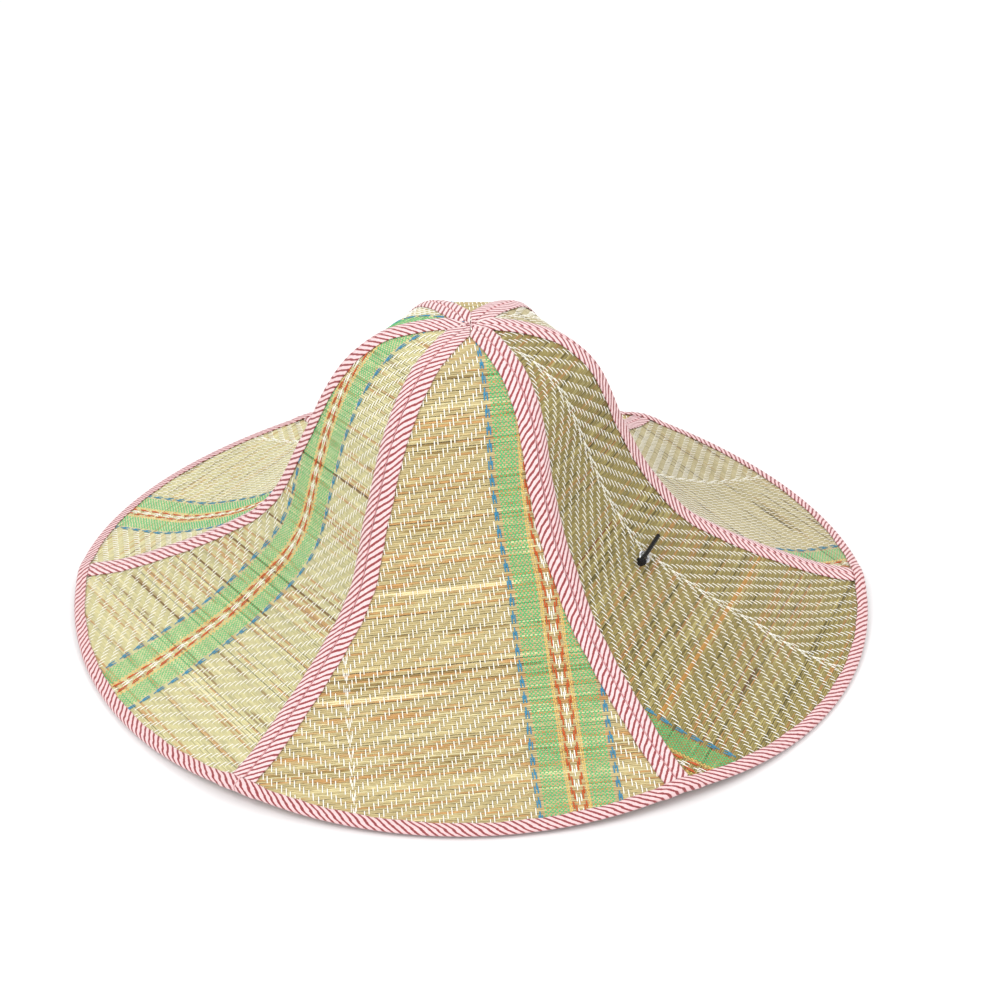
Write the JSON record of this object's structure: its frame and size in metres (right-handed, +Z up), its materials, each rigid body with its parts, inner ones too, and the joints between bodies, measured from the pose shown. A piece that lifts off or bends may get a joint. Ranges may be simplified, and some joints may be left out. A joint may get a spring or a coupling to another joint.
{
  "type": "conical hat",
  "caption": "Folding sun hat of woven reed mat gores with a steep round crown, flared brim, striped bound seams and an elastic chin cord.",
  "frame": {"origin": "centre of the hat's outline on the surface that its rim stands on", "axes": "+Z up through the crown; -Y is the front, where the middle of one gore faces; +X is to the right seen from the front"},
  "size_m": [0.4794, 0.4722, 0.1793],
  "materials": {
    "mat_front": "woven reed, matt with a faint straw sheen",
    "mat_front_right": "woven reed, matt with a faint straw sheen",
    "mat_back_right": "woven reed, matt with a faint straw sheen",
    "mat_back": "woven reed, matt with a faint straw sheen",
    "mat_back_left": "woven reed, matt with a faint straw sheen",
    "mat_front_left": "woven reed, matt with a faint straw sheen",
    "tape": "striped cotton bias tape, matt",
    "sewing_thread": "matt sewing thread",
    "eyelet_metal": "bright nickel plate",
    "cord": "braided elastic with a slight gloss"
  },
  "bodies": {
    "hat": {"gore_front": "mat_front", "gore_front_right": "mat_front_right", "gore_back_right": "mat_back_right", "gore_back": "mat_back", "gore_back_left": "mat_back_left", "gore_front_left": "mat_front_left", "side_tape_front_a": "tape", "side_tape_front_b": "tape", "side_tape_front_right_a": "tape", "side_tape_front_right_b": "tape", "side_tape_back_right_a": "tape", "side_tape_back_right_b": "tape", "side_tape_back_a": "tape", "side_tape_back_b": "tape", "side_tape_back_left_a": "tape", "side_tape_back_left_b": "tape", "side_tape_front_left_a": "tape", "side_tape_front_left_b": "tape", "rim_tape": "tape", "seam_thread_front_1": "sewing_thread", "seam_thread_front_2": "sewing_thread", "seam_thread_right": "sewing_thread", "seam_thread_back_1": "sewing_thread", "seam_thread_back_2": "sewing_thread", "seam_thread_left": "sewing_thread", "eyelet_right": "eyelet_metal", "eyelet_washer_right": "eyelet_metal", "eyelet_left": "eyelet_metal", "eyelet_washer_left": "eyelet_metal", "chin_cord": "cord"},
    "knot_right": {"cord_knot_right": "cord"},
    "knot_left": {"cord_knot_left": "cord"}
  },
  "joints": [
    {"name": "knot_right_turn", "type": "hinge", "parent": "hat", "child": "knot_right", "pos_m": [0.10076, -0.05289, 0.05413], "axis": [0.5953, -0.3577, 0.7195], "range_deg": [-90, 90]},
    {"name": "knot_left_turn", "type": "hinge", "parent": "hat", "child": "knot_left", "pos_m": [-0.09867, 0.05144, 0.05413], "axis": [-0.5945, 0.3537, 0.7221], "range_deg": [-90, 90]}
  ]
}
